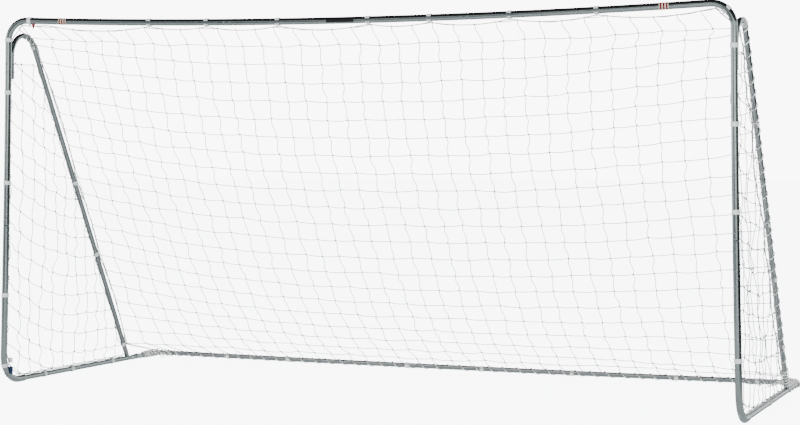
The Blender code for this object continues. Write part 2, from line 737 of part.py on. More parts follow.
def side_net(side, word):
    """The net between a post, its side bar and its backstay, with cells that the slope halves."""
    frame, stay = frames[side], stays[side]
    front = post_y + main_clip_r + hook_opening / 2
    low = ground_z + ground_clip_r + hook_opening / 2
    stay_room = (thin_clip_r + touch + strand) / math.cos(stay_lean)
    back = post_y + stay_foot_back - (low - ground_z) * math.tan(stay_lean) - stay_room
    columns = round((back - front) / math.tan(stay_lean) / side_net_pitch)
    column = (back - front) / columns
    row = column / math.tan(stay_lean)
    rows = int((hook_leg_end - clip_length - low) / row)
    foot_inset = foot_bend_radius * (1 - math.sqrt(0.5)) + hook_opening / 2
    bm = bmesh.new()
    bmesh.ops.create_grid(bm, x_segments=columns, y_segments=rows, size=1)
    for vert in bm.verts:
        y = front + (vert.co.x + 1) / 2 * column * columns
        z = low + (vert.co.y + 1) / 2 * row * rows
        at_front = y < front + column / 2
        in_bend = foot_inset if at_front and z < low + row / 2 else 0
        z = beside_clips(z, post_clips[side]) if at_front else z
        vert.co = (0, y + in_bend, z + in_bend)
    bmesh.ops.bisect_plane(bm, geom=bm.verts[:] + bm.edges[:] + bm.faces[:], dist=touch,
                           plane_co=(0, back, low), plane_no=(0, row, column), clear_outer=True)
    for vert in bm.verts:
        seat = cord_seat(Vector((side * post_x(vert.co.z), 0, 0)), -Z_AXIS, Y_AXIS, main_clip_r)
        back_share = (vert.co.y - front) / (back - front)
        stay_x = stay.at(stay.where(2, vert.co.z)).x
        vert.co.x = seat.x * (1 - back_share) + stay_x * back_share
    bmesh.ops.recalc_face_normals(bm, faces=bm.faces)
    return lattice(word + "_side_net", bm)


back_net()
for side, word in sides:
    side_net(side, word)
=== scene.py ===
import bmesh
import bpy
import math
import random
from mathutils import Matrix, Vector


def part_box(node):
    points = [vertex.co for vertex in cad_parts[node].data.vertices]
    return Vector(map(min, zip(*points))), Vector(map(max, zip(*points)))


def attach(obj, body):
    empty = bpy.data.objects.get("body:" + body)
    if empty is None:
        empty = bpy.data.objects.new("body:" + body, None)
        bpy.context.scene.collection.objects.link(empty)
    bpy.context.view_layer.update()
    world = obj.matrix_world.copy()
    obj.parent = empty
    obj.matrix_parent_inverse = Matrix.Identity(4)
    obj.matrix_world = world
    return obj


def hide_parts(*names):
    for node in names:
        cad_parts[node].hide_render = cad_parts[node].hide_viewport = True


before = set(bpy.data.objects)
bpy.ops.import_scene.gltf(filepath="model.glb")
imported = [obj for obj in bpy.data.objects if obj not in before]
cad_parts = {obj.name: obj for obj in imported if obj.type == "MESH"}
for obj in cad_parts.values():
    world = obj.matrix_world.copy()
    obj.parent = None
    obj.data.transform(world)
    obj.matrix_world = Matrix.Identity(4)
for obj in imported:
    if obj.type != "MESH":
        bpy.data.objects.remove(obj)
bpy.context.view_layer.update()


# The camera stands to the right of the goal's middle and 8.2 m in front of the posts, with its lens at
# chest height. It is almost level and turned to the left, and the lens is shifted so that the upright
# posts stay upright. The focal length and the point it aims at are in pixels of the picture.
picture_width, picture_height, focal_length, aim_x, aim_y = 800, 425, 1932.0, 400.74, 167.35
post_y = sum(corner.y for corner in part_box("crossbar_center")) / 2
X_AXIS, Y_AXIS, Z_AXIS = Vector((1, 0, 0)), Vector((0, 1, 0)), Vector((0, 0, 1))
to_left, downward, roll = (math.radians(a) for a in (22.08, 0.63, 0.14))


def placed(name, data):
    made = bpy.data.objects.new(name, data)
    bpy.context.scene.collection.objects.link(made)
    return made


camera = placed("camera", bpy.data.cameras.new("camera"))
camera.data.sensor_width = 36.0
camera.data.lens = focal_length / picture_width * camera.data.sensor_width
camera.data.shift_x = (picture_width / 2 - aim_x) / picture_width
camera.data.shift_y = (aim_y - picture_height / 2) / picture_width
camera.data.clip_start, camera.data.clip_end = 0.1, 200
camera.matrix_world = (
    Matrix.Translation((3.5928, post_y - 8.152, 1.1921)) @ Matrix.Rotation(to_left, 4, "Z")
    @ Matrix.Rotation(math.pi / 2 - downward, 4, "X") @ Matrix.Rotation(roll, 4, "Z"))
bpy.context.scene.camera = camera


# The studio is a pale floor before a white backdrop. What the tubes mirror is drawn apart from it: light
# walls with a narrow dark gap to the left of the front and a wide one to the right, and darkness above,
# which give the steel its dark lines. Two soft lamps light the goal and don't show in reflections.
def softbox(name, energy, wide, high, place):
    light = bpy.data.lights.new(name, "AREA")
    light.energy, light.shape, light.size, light.size_y = energy, "RECTANGLE", wide, high
    lamp = placed(name, light)
    lamp.location = place
    lamp.visible_glossy = False
    lamp.rotation_euler = (Vector((0, 0, 1.0)) - Vector(place)).to_track_quat("-Z", "Y").to_euler()


class Socket:
    """A shader socket that can stand in a sum."""

    def __init__(self, finish, output):
        self.finish, self.output = finish, output

    def math(self, operation, *values):
        return self.finish.node("Math", {"operation": operation}, dict(enumerate(values)))["Value"]

    def __add__(self, other): return self.math("ADD", self, other)
    def __radd__(self, other): return self.math("ADD", other, self)
    def __mul__(self, other): return self.math("MULTIPLY", self, other)
    def __rmul__(self, other): return self.math("MULTIPLY", other, self)


def grey(value):
    return (value * 0.98, value, value * 1.01)


class Finish:
    """A material or a surround, made of nodes."""

    def __init__(self, owner):
        self.owner = owner
        owner.use_nodes = True
        self.tree = owner.node_tree
        self.tree.nodes.clear()

    def node(self, kind, settings=None, sockets=None):
        made = self.tree.nodes.new("ShaderNode" + kind)
        for key, value in (settings or {}).items():
            if key == "stops":
                ramp = made.color_ramp.elements
                while len(ramp) > 1:
                    ramp.remove(ramp[-1])
                for number, (place, color) in enumerate(value):
                    stop = ramp.new(place) if number else ramp[0]
                    stop.position, stop.color = place, (*color, 1)
            else:
                setattr(made, key, value)
        for key, value in (sockets or {}).items():
            into = made.inputs[key] if isinstance(key, int) else next(
                s for s in made.inputs if s.enabled and key in (s.name, s.identifier))
            if isinstance(value, Socket):
                self.tree.links.new(value.output, into)
            elif hasattr(into.default_value, "__len__") and len(into.default_value) == 4:
                into.default_value = (*value, 1)
            else:
                into.default_value = value
        return {s.name: Socket(self, s) for s in made.outputs if s.enabled}

    def ramp(self, value, stops):
        """A grey read off a list of (place, brightness) stops."""
        return self.node("ValToRGB", {"stops": [(at, grey(level)) for at, level in stops]},
                         {"Fac": value})["Color"]

    def mix(self, factor, a, b, mode="MIX"):
        return self.node("Mix", {"data_type": "RGBA", "blend_type": mode},
                         {"Factor_Float": factor, "A_Color": a, "B_Color": b})["Result"]

    def parts(self, vector):
        return self.node("SeparateXYZ", None, {"Vector": vector})

    def angle(self, up, along):
        return self.node("Math", {"operation": "ARCTAN2"}, {0: up, 1: along})["Value"]

    def bearing(self, spot):
        """A direction on the ground: 0 and 1 are behind the goal, 0.25 is left, 0.5 front, 0.75 right."""
        return self.angle(spot["X"], spot["Y"] * -1.0) * (1 / math.tau) + 0.5

    def noise(self, place, scale, detail):
        return self.node("TexNoise", None, {"Vector": place, "Scale": scale, "Detail": detail})["Fac"]

    def between(self, value, low, high):
        """A share that grows from 0 to 1 as a value goes from low to high."""
        return self.node("MapRange", None, {"Value": value, "From Min": low, "From Max": high})["Result"]

    def bump(self, strength, distance, height):
        return self.node("Bump", None, {
            "Strength": strength, "Distance": distance, "Height": height})["Normal"]

    def surface(self, sockets):
        """Finish the material with its one shader."""
        shader = self.node("BsdfPrincipled", None, sockets)
        self.node("OutputMaterial", None, {"Surface": shader["BSDF"]})
        return self.owner


def stored(bm, name):
    mesh = bpy.data.meshes.new(name)
    bm.to_mesh(mesh)
    bm.free()
    return mesh


surround = Finish(bpy.data.worlds.new("studio_surround"))
bpy.context.scene.world = surround.owner
toward = surround.parts(surround.node("TexCoord")["Generated"])
wall_tones = [(0.0, 1.0), (0.07, 0.9), (0.37, 0.9), (0.41, 0.14), (0.48, 0.14), (0.51, 1.0), (0.62, 0.95),
              (0.65, 0.015), (0.87, 0.015), (0.90, 0.9), (1.0, 1.0)]
walls = surround.ramp(surround.bearing(toward), wall_tones)
front = surround.ramp(toward["Z"], [(0.08, 0.50), (0.12, 0.56), (0.20, 0.56), (0.26, 0.015), (1.0, 0.015)])
rear = surround.ramp(toward["Z"], [(0.10, 0.5), (0.38, 0.5), (0.50, 0.02), (1.0, 0.015)])
above = surround.mix(surround.ramp(toward["Y"], [(0.35, 0.0), (0.65, 1.0)]), front, rear)
shade = surround.mix(surround.ramp(toward["Z"], [(0.08, 0.0), (0.10, 1.0)]), walls, above)
seen = surround.node("LightPath")["Is Camera Ray"]
lit = surround.node("Background", None, {"Color": shade, "Strength": 2.1})
backdrop = surround.node("Background", None, {"Color": (1, 1, 1), "Strength": 9.0})
shown = surround.node("MixShader", None, {0: seen, 1: lit["Background"], 2: backdrop["Background"]})
surround.node("OutputWorld", None, {"Surface": shown["Shader"]})

bm = bmesh.new()
bmesh.ops.create_circle(bm, cap_ends=True, segments=96, radius=60)
floor = placed("studio_floor", stored(bm, "studio_floor"))
pale = Finish(bpy.data.materials.new("pale_floor"))
pale_seen = pale.node("LightPath")["Is Camera Ray"]
pale_place = pale.node("TexCoord")["Object"]
pale_away = pale.node("VectorMath", {"operation": "LENGTH"}, {0: pale_place})["Value"] * 0.05
pale_walls = pale.mix(pale.ramp(pale_away, [(0.14, 0.0), (0.25, 1.0)]), grey(1.0),
                      pale.ramp(pale.bearing(pale.parts(pale_place)), wall_tones))


def pale_tone(to_camera, to_goal):
    """One grey for the camera, and one for the goal's reflections, which takes the walls' tones."""
    return pale.mix(pale_seen, pale.mix(1.0, pale_walls, grey(to_goal), "MULTIPLY"), grey(to_camera))


floor.data.materials.append(pale.surface({
    "Base Color": pale_tone(0.93, 0.36), "Roughness": 0.9, "Specular IOR Level": 0.1,
    "Emission Color": pale_tone(1.0, 0.046), "Emission Strength": 8.2}))

softbox("left_softbox", 950, 1.0, 3.0, (-1.6, post_y - 7.6, 2.4))
softbox("right_softbox", 850, 2.5, 2.5, (7.5, post_y - 6.0, 2.2))


# The frame is round steel tube, galvanised inside and out: 32 mm for the crossbar and the posts, 25.4 mm
# for the rest. The tubes are bent cold, and the thinner, swaged end of one slides into the next, so a
# seam shows only as a fine dark line with a slight neck.
goal_width, goal_height, post_to_rear_bar = 3.66, 1.827, 1.514
crossbar_sag, rear_bar_bow, foot_splay, splay_power = 0.040, 0.050, 0.031, 1.5
main_r, thin_r, touch = 0.016, 0.0127, 0.0003
quarter_turn = Matrix.Rotation(math.pi / 2, 4, "X")
half_span, beam_z, ground_z = goal_width / 2 - main_r, goal_height - main_r, main_r
rear_y, stay_foot_y = post_y + post_to_rear_bar, post_y + 1.180
corner_bend, foot_bend, rear_bend, hook_bend = 0.10, 0.13, 0.06, 0.108
hook_y, hook_corner_z, hook_end_z = post_y + main_r + touch + thin_r, 2.042, 1.5202
bolt_heights = {"upper": 1.5942, "lower": 1.5552}
crossbar_joint, post_joint, rear_joint, bend_end, side_bar_end = 0.61, 0.795, 0.612, 0.180, 1.254
stay_joints = (1.220, 0.525, 0.0353)
sides = ((-1, "left"), (1, "right"))


class Route:
    """A centreline read by the distance along it."""

    def __init__(self, points):
        self.points = [Vector(p) for p in points]
        self.marks = [0.0]
        for a, b in zip(self.points, self.points[1:]):
            self.marks.append(self.marks[-1] + (b - a).length)
        self.length = self.marks[-1]

    def at(self, distance):
        last = len(self.points) - 2
        i = next((i for i in range(last) if distance < self.marks[i + 1]), last)
        share = (distance - self.marks[i]) / (self.marks[i + 1] - self.marks[i])
        return self.points[i].lerp(self.points[i + 1], share)

    def heading(self, distance):
        on, back = min(distance + 0.0005, self.length), max(distance - 0.0005, 0)
        return (self.at(on) - self.at(back)).normalized()

    def where(self, axis, value, last=False):
        spans = list(enumerate(zip(self.points, self.points[1:])))
        for i, (a, b) in reversed(spans) if last else spans:
            if min(a[axis], b[axis]) <= value <= max(a[axis], b[axis]) and a[axis] != b[axis]:
                share = (value - a[axis]) / (b[axis] - a[axis])
                return self.marks[i] + share * (self.marks[i + 1] - self.marks[i])
        raise ValueError("the route never passes that value")


def bend(before, corner, after, radius, steps):
    """The arc that rounds a corner between two straight runs."""
    to_before, to_after = (before - corner).normalized(), (after - corner).normalized()
    half = to_before.angle(to_after) / 2
    centre = corner + (to_before + to_after).normalized() * (radius / math.sin(half))
    start = corner + to_before * (radius / math.tan(half)) - centre
    normal = to_before.cross(to_after).normalized()
    return [centre + Matrix.Rotation((2 * half - math.pi) * i / steps, 3, normal) @ start
            for i in range(steps + 1)]


def spaced(start, end, count):
    return [start + (end - start) * i / count for i in range(count + 1)]


def post_x(z):
    return half_span + foot_splay * max((beam_z - z) / beam_z, 0) ** splay_power


def crossbar_z(x):
    return beam_z - crossbar_sag * (1 - (x / half_span) ** 2)


def side_x(y):
    share = (y - post_y) / post_to_rear_bar
    return post_x(ground_z) * (1 - share) + half_span * share


def rear_bar_y(x):
    return rear_y - rear_bar_bow * (1 - (x / half_span) ** 2)


def frame_route(side):
    """From the crossbar's middle down one post and along the ground to the rear bar's middle."""
    crossbar = [Vector((side * x, post_y, crossbar_z(x))) for x in spaced(0, half_span - 0.20, 12)]
    top = Vector((side * half_span, post_y, beam_z))
    post = [Vector((side * post_x(z), post_y, z)) for z in spaced(beam_z - 0.20, ground_z + 0.26, 10)]
    foot = Vector((side * post_x(ground_z), post_y, ground_z))
    rear = Vector((side * half_span, rear_y, ground_z))
    rear_bar = [Vector((side * x, rear_bar_y(x), ground_z)) for x in spaced(half_span - 0.12, 0, 12)]
    return Route(crossbar + bend(crossbar[-1], top, post[0], corner_bend, 14) + post
                 + bend(post[-1], foot, rear, foot_bend, 14) + bend(foot, rear, rear_bar[0], rear_bend, 12)
                 + rear_bar)


def stay_route(side):
    """From the hook's short leg over its bend and down the backstay to the side bar."""
    leg_x = side * post_x(bolt_heights["upper"])
    leg_end, corner = Vector((leg_x, hook_y, hook_end_z)), Vector((leg_x, hook_y, hook_corner_z))
    foot = Vector((side * side_x(stay_foot_y), stay_foot_y, ground_z))
    return Route([leg_end] + bend(leg_end, corner, foot, hook_bend, 20) + [foot])


def across(side_points):
    """A route from one side's points and their mirror image."""
    return Route([Vector((-p.x, p.y, p.z)) for p in side_points[:0:-1]] + side_points)


frames = {side: frame_route(side) for side, _ in sides}
stays = {side: stay_route(side) for side, _ in sides}
crossbar_route = across(frames[1].points[:14])
rear_bar_route = across(frames[1].points[:-15:-1])


def square_to(heading, direction):
    """The part of a direction that is square to a heading."""
    return (direction - heading * direction.dot(heading)).normalized()


def verts_in(geom):
    return [g for g in geom if isinstance(g, bmesh.types.BMVert)]


def sweep(bm, route, profile, around):
    """Draw a ring along a route and follow a profile of (distance, radius). Each point also keeps its
    place on the straight tube, so that a finish can run along it."""
    rows = list(profile)
    for mark in route.marks:
        near = min(abs(mark - row[0]) for row in profile)
        if profile[0][0] < mark < profile[-1][0] and near > 0.002:
            after = next(i for i, row in enumerate(rows) if row[0] > mark)
            (low, low_r), (high, high_r) = rows[after - 1], rows[after]
            rows.insert(after, (mark, low_r + (high_r - low_r) * (mark - low) / (high - low)))
    straight = bm.verts.layers.float_vector.get("straight") or bm.verts.layers.float_vector.new("straight")
    side = route.heading(rows[0][0]).orthogonal().normalized()
    edges = place = None
    for distance, radius in rows:
        heading = route.heading(distance)
        side = square_to(heading, side)
        turned = Matrix((side, heading.cross(side), heading)).transposed().to_4x4()
        onto = Matrix.Translation(route.at(distance)) @ turned @ Matrix.Diagonal((radius, radius, 1, 1))
        if edges is None:
            verts = bmesh.ops.create_circle(bm, segments=around, radius=1, matrix=onto)["verts"]
            edges = list({edge for vert in verts for edge in vert.link_edges})
            bmesh.ops.contextual_create(bm, geom=edges)
        else:
            grown = bmesh.ops.extrude_edge_only(bm, edges=edges)["geom"]
            verts = verts_in(grown)
            edges = [g for g in grown if isinstance(g, bmesh.types.BMEdge)
                     and g.verts[0] in verts and g.verts[1] in verts]
            bmesh.ops.transform(bm, verts=verts, matrix=onto @ place.inverted())
        place, back = onto, onto.inverted()
        for vert in verts:
            local = back @ vert.co
            vert[straight] = (local.x * radius, local.y * radius, distance)
    bmesh.ops.contextual_create(bm, geom=edges)


def piece(name, bm, material, body="goal_frame", replaced=(), crease=40):
    """A finished piece that rides on a body, in place of the nodes that it stands for."""
    bmesh.ops.recalc_face_normals(bm, faces=bm.faces)
    mesh = stored(bm, name)
    mesh.shade_smooth()
    mesh.set_sharp_from_angle(angle=math.radians(crease))
    mesh.materials.append(material)
    made = placed(name, mesh)
    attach(made, body)
    if replaced:
        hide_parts(*replaced)
    return made


def shaded(tint, share):
    return tuple(channel * share for channel in tint)


def galvanised(name, tint):
    """Zinc on cold-drawn tube: a faint spangle, drawing lines along it, and duller stained patches."""
    made = Finish(bpy.data.materials.new(name))
    place = made.node("Attribute", {"attribute_name": "straight"})["Vector"]
    drawn = made.node("VectorMath", {"operation": "MULTIPLY"}, {0: place, 1: (900, 900, 6)})
    lines = made.noise(drawn["Vector"], 1.0, 3.0)
    flakes = made.node("TexVoronoi", None, {"Vector": place, "Scale": 90})["Color"]
    worn = made.between(made.noise(place, 14.0, 4.0), 0.52, 0.72)
    zinc = made.mix(made.parts(flakes)["X"] * 0.5 + lines * 0.5, shaded(tint, 0.82), tint)
    return made.surface({
        "Base Color": made.mix(worn * 0.45, zinc, shaded(tint, 0.74)), "Metallic": 1.0,
        "Roughness": 0.15 + 0.03 * lines + 0.10 * worn, "Normal": made.bump(0.015, 0.0003, lines)})


tube_steel = galvanised("galvanised_tube_steel", (0.47, 0.535, 0.53))

# The forms of a tube's end, as (distance into the tube from the seam, step below its radius): the plug
# left inside the tube before it and its neck, and the rolled lip where a sleeve begins.
plug = ((-0.02, 0.0022), (0.0004, 0.0022), (0.0024, 0.0012), (0.0044, 0), (0.0064, 0))
mouth = ((0, 0.0016), (0.0002, 0.0003), (0.0008, 0), (0.0028, 0))


def between_seams(radius, start_form, start, end_form, end):
    return ([(start + into, radius - step) for into, step in start_form]
            + [(end - into, radius - step) for into, step in reversed(end_form)])


def tube(name, route, *ends):
    bm = bmesh.new()
    sweep(bm, route, between_seams(*ends), 32)
    return piece(name + "_tube", bm, tube_steel, replaced=[name])


for name, route, seam, radius in (("crossbar_center", crossbar_route, crossbar_joint, main_r),
                                  ("rear_bar_center", rear_bar_route, rear_joint, thin_r)):
    tube(name, route, radius, mouth, route.where(0, -seam), mouth, route.where(0, seam))

marks = {}
for side, word in sides:
    goal, stay = frames[side], stays[side]
    crossbar_seam, post_seam = goal.where(0, side * crossbar_joint), goal.where(2, post_joint)
    foot_seam, side_seam = goal.where(1, post_y + bend_end), goal.where(1, post_y + side_bar_end)
    rear_seam = goal.length - (rear_bar_route.where(0, rear_joint) - rear_bar_route.length / 2)
    upper, lower, foot = (stay.where(2, z) for z in stay_joints)
    marks[side] = (crossbar_seam, post_seam, foot_seam, side_seam, rear_seam, upper, lower, foot)
    tube(word + "_top_corner", goal, main_r, plug, crossbar_seam, mouth, post_seam)
    tube(word + "_lower_post", goal, main_r, plug, post_seam, mouth, foot_seam)
    tube(word + "_rear_corner", goal, thin_r, plug, side_seam, plug, rear_seam)
    tube(word + "_stay_hook", stay, thin_r, mouth, 0, mouth, upper)
    tube(word + "_stay_middle", stay, thin_r, plug, upper, mouth, lower)
    tube(word + "_stay_lower", stay, thin_r, plug, lower, mouth, foot)
    bm = bmesh.new()
    sweep(bm, goal, between_seams(thin_r, ((0, 0),), foot_seam - 0.03, mouth, side_seam), 32)
    stub = Route([stay.at(foot - 0.02), stay.at(foot + 0.0005), stay.points[-1]])
    sweep(bm, stub, [(0, 0.0110), (0.0205, 0.0110), (0.0235, 0.0128), (stub.length, 0.0130)], 32)
    piece(word + "_side_bar_tube", bm, tube_steel, replaced=[word + "_side_bar"])


# Spring buttons lock the plugged tubes. Each is a domed pin of plated spring steel on a leaf inside the
# plug, and it stands out of a punched hole in the sleeve until a thumb pushes it in.
def plain_metal(name, tint, roughness, speckle):
    """Plated metal with fine turning marks and darker specks where the plating is thin."""
    made = Finish(bpy.data.materials.new(name))
    place = made.node("TexCoord")["Object"]
    fine, thin = made.noise(place, 900.0, 2.0), made.between(made.noise(place, 260.0, 3.0), 0.55, 0.75)
    return made.surface({
        "Base Color": made.mix(thin * speckle, tint, shaded(tint, 0.55)), "Metallic": 1.0,
        "Roughness": roughness + 0.12 * fine + 0.15 * thin, "Normal": made.bump(0.1, 0.0002, fine)})


button_steel = plain_metal("plated_spring_steel", (0.80, 0.80, 0.78), 0.10, 0.4)
# The near-black finish of the hole rings is painted shade for the gap inside the punched holes.
hole_shadow = plain_metal("painted_hole_shade", (0.10, 0.10, 0.10), 0.45, 0.6)


def lathe(bm, outline, around, place):
    """Turn an outline of (radius, height) about Z and move it to its place."""
    points = [bm.verts.new((radius, 0, height)) for radius, height in outline]
    edges = [bm.edges.new(pair) for pair in zip(points, points[1:])]
    bmesh.ops.spin(bm, geom=points + edges, cent=(0, 0, 0), axis=(0, 0, 1), steps=around,
                   angle=math.tau, use_merge=True)
    made = {vert for edge in bm.edges if not edge.tag for vert in edge.verts}
    for edge in bm.edges:
        edge.tag = True
    bmesh.ops.transform(bm, verts=list(made), matrix=place)


def stand(route, mark, facing):
    """The place on a route's centreline with Z along a facing direction and X along the tube."""
    heading = route.heading(mark)
    outward = square_to(heading, facing)
    turn = Matrix((heading, outward.cross(heading), outward)).transposed().to_4x4()
    return Matrix.Translation(route.at(mark)) @ turn


pin_r, pin_proud, rim_r = 0.0035, 0.0022, 0.0043
for side, word in sides:
    goal, stay = frames[side], stays[side]
    crossbar_seam, post_seam, foot_seam, side_seam, rear_seam, upper, lower, foot = marks[side]
    inward = -side * X_AXIS
    for label, route, mark, facing, sleeve_r in (
            ("crossbar", goal, crossbar_seam - 0.030, -Y_AXIS, main_r),
            ("post", goal, post_seam - 0.030, -Y_AXIS, main_r),
            ("front_bend", goal, foot_seam - 0.020, inward, main_r),
            ("side_bar", goal, side_seam - 0.030, inward, thin_r),
            ("rear_bar", goal, rear_seam + 0.030, -Y_AXIS, thin_r),
            ("stay_upper", stay, upper - 0.030, -Y_AXIS, thin_r),
            ("stay_lower", stay, lower - 0.030, -Y_AXIS, thin_r),
            ("stay_foot", stay, foot - 0.0425, -Y_AXIS, thin_r)):
        node = word + "_" + label + "_button"
        place = stand(route, mark, facing)
        top, root = sleeve_r + pin_proud, sleeve_r - 0.006
        bm = bmesh.new()
        lathe(bm, [(0, root), (pin_r - 0.0001, root), (pin_r, sleeve_r), (pin_r, top - 0.0012),
                   (pin_r - 0.0004, top - 0.0005), (pin_r - 0.0013, top - 0.0001), (0, top)], 24, place)
        leaf = bmesh.ops.create_cube(bm, size=1)["verts"]
        bmesh.ops.transform(bm, verts=leaf, matrix=place @ Matrix.Translation((0, 0, root + 0.0004))
                            @ Matrix.Diagonal((0.020, 0.0065, 0.0008, 1)))
        piece(node + "_pin", bm, button_steel, body=node, replaced=[node])
        # A dark ring round the pin is painted shade, standing for the gap of the punched hole.
        bm = bmesh.new()
        lathe(bm, [(radius, sleeve_r + up) for radius, up in (
            (0, -0.0006), (rim_r - 0.0004, -0.0006), (rim_r, 0.0001), (rim_r - 0.0004, 0.0003),
            (rim_r - 0.0006, -0.0002), (0, -0.0005))], 24, place)
        piece(node + "_hole", bm, hole_shadow)


# Four bolts hold the hooks of the backstays behind the posts. Each has a chamfered hexagon head in front
# and a chamfered nut behind, both zinc plated.
fastener_zinc = plain_metal("zinc_plated_fastener", (0.66, 0.66, 0.63), 0.22, 0.7)
across_flats, head_height, nut_height, shank_r = 0.010, 0.0039, 0.0049, 0.0029


def hexagon_block(bm, height, place):
    """A hexagon that stands on its place, with its rims chamfered."""
    corner_r = across_flats / math.sqrt(3)
    made = bmesh.ops.create_cone(bm, cap_ends=True, segments=6, radius1=corner_r, radius2=corner_r,
                                 depth=height)["verts"]
    bmesh.ops.translate(bm, verts=made, vec=(0, 0, height / 2))
    rims = [e for e in {e for v in made for e in v.link_edges}
            if abs(e.verts[0].co.z - e.verts[1].co.z) < 1e-6]
    rounded = bmesh.ops.bevel(bm, geom=rims, offset=0.0005, affect="EDGES", segments=2, profile=0.5,
                              material=-1)
    block = {v for v in made if v.is_valid} | set(rounded["verts"])
    bmesh.ops.transform(bm, verts=list(block), matrix=place)
    for edge in bm.edges:
        edge.tag = True


for side, word in sides:
    for level, height in bolt_heights.items():
        x, label = side * post_x(height), word + "_" + level
        front = Matrix.Translation((x, post_y - main_r - touch, height)) @ quarter_turn
        nut_y = post_y + main_r + 2 * (touch + thin_r)
        back = Matrix.Translation((x, nut_y, height)) @ quarter_turn.inverted()
        tip = head_height - 0.0715
        bm = bmesh.new()
        hexagon_block(bm, head_height, front)
        lathe(bm, [(0, tip), (shank_r - 0.0004, tip), (shank_r, tip + 0.0005), (shank_r, -0.0001),
                   (0, -0.0001)], 20, front)
        piece(label + "_bolt_steel", bm, fastener_zinc, replaced=[label + "_bolt"])
        bm = bmesh.new()
        hexagon_block(bm, nut_height, back)
        piece(label + "_nut_steel", bm, fastener_zinc, replaced=[label + "_nut"])


# The net is held by clips of light grey plastic, moulded as an open ring that snaps over the tube, with a
# thumb rib on its back and a J-shaped hook for the net's edge cord. 38 of them sit along the frame.
def moulded(name, tint, gloss):
    """Moulded plastic with a fine orange-peel grain and faint flow marks."""
    made = Finish(bpy.data.materials.new(name))
    place = made.node("TexCoord")["Object"]
    grain, flow = made.noise(place, 1400.0, 2.0), made.noise(place, 120.0, 2.0)
    return made.surface({"Base Color": made.mix(flow, shaded(tint, 0.86), tint),
                         "Roughness": gloss + 0.15 * flow, "Normal": made.bump(0.15, 0.0003, grain)})


clip_grey = moulded("clip_plastic_grey", (0.62, 0.64, 0.65), 0.38)
clip_white = moulded("clip_plastic_white", (0.86, 0.87, 0.87), 0.38)


def curved_bar(bm, inner, outer, half_length, start, turn, steps):
    """A bar bent round the X axis: its rounded section is drawn, then spun through the turn."""
    section = bmesh.ops.create_grid(bm, x_segments=1, y_segments=1, size=0.5)["verts"]
    middle = Matrix.Translation((0, 0, (inner + outer) / 2))
    bmesh.ops.transform(bm, verts=section, matrix=middle @ quarter_turn @ Matrix.Diagonal(
        (2 * half_length, outer - inner, 1, 1)))
    bmesh.ops.bevel(bm, geom=section, offset=(outer - inner) * 0.38, affect="VERTICES", segments=2,
                    profile=0.5, material=-1)
    geom = list({g for f in bm.faces if not f.tag for g in (f, *f.edges, *f.verts)})
    bmesh.ops.rotate(bm, verts=verts_in(geom), cent=(0, 0, 0), matrix=Matrix.Rotation(start, 3, "X"))
    bmesh.ops.spin(bm, geom=geom, cent=(0, 0, 0), axis=(1, 0, 0), angle=turn, steps=steps)
    for f in bm.faces:
        f.tag = True


def clip_form(tube_r):
    """A clip round a tube along X with its hook towards +Z."""
    bm = bmesh.new()
    outer, gap, hook_length = tube_r + 0.0023, math.radians(45), 0.009
    curved_bar(bm, tube_r + touch, outer, 0.010, gap - math.pi, math.tau - 2 * gap, 28)
    curved_bar(bm, outer - 0.0004, outer + 0.0012, 0.0055, math.radians(80), math.radians(34), 6)
    hook = [bm.verts.new((-hook_length / 2, y, outer + up)) for y, up in (
        (0.0018, -0.0008), (0.0018, 0.0055), (0.0010, 0.0060), (-0.0034, 0.0060), (-0.0040, 0.0054),
        (-0.0040, 0.0034), (-0.0028, 0.0034), (-0.0026, 0.0042), (-0.0006, 0.0042), (0, 0.0036),
        (0, -0.0008))]
    drawn = bmesh.ops.extrude_face_region(bm, geom=[bm.faces.new(hook)])["geom"]
    bmesh.ops.translate(bm, verts=verts_in(drawn), vec=(hook_length, 0, 0))
    return bm


def clip(name, route, mark, hook, tube_r, plastic, node=None):
    bm = clip_form(tube_r)
    bmesh.ops.transform(bm, verts=bm.verts, matrix=stand(route, mark, hook))
    return piece(name, bm, plastic, replaced=[node] if node else ())


def row_of_clips(label, node_label, places, modelled, hook, plastic, tube_r=thin_r):
    """Clips at places of (route, mark, value), the solids' own clips in their places."""
    for number, (route, mark, value) in enumerate(places, 1):
        near = [i for i, given in enumerate(modelled, 1) if abs(given - value) < 0.01]
        clip(f"{label}_clip_{number}", route, mark, hook, tube_r, plastic,
             f"{node_label}_clip_{near[0]}" if near else None)


crossbar_clips = (-1.690, -1.0195, -0.709, -0.3338, 0.123, 0.4245, 0.807, 1.2081)
rear_bar_clips = (-1.7287, -1.357, -0.9796, -0.2667, 0.161, 0.6549, 1.202, 1.6108)
post_clips = {-1: (1.713, 1.453, 1.0051, 0.4473, 0.100), 1: (1.625, 1.289, 0.9146, 0.2807)}
stay_clips = {-1: (0.9961, 0.6103, 0.100), 1: (1.295, 0.8367, 0.576, 0.2445)}
bar_clips = {-1: (0.361, 0.617, 1.014), 1: (0.698,)}
bend_from, rear_hook = 1.6, Vector((0, -0.866, 0.5))


def beam_at(x):
    """The route that a place on the crossbar belongs to: its middle, or a side's bend."""
    return crossbar_route if abs(x) < bend_from else frames[-1 if x < 0 else 1]


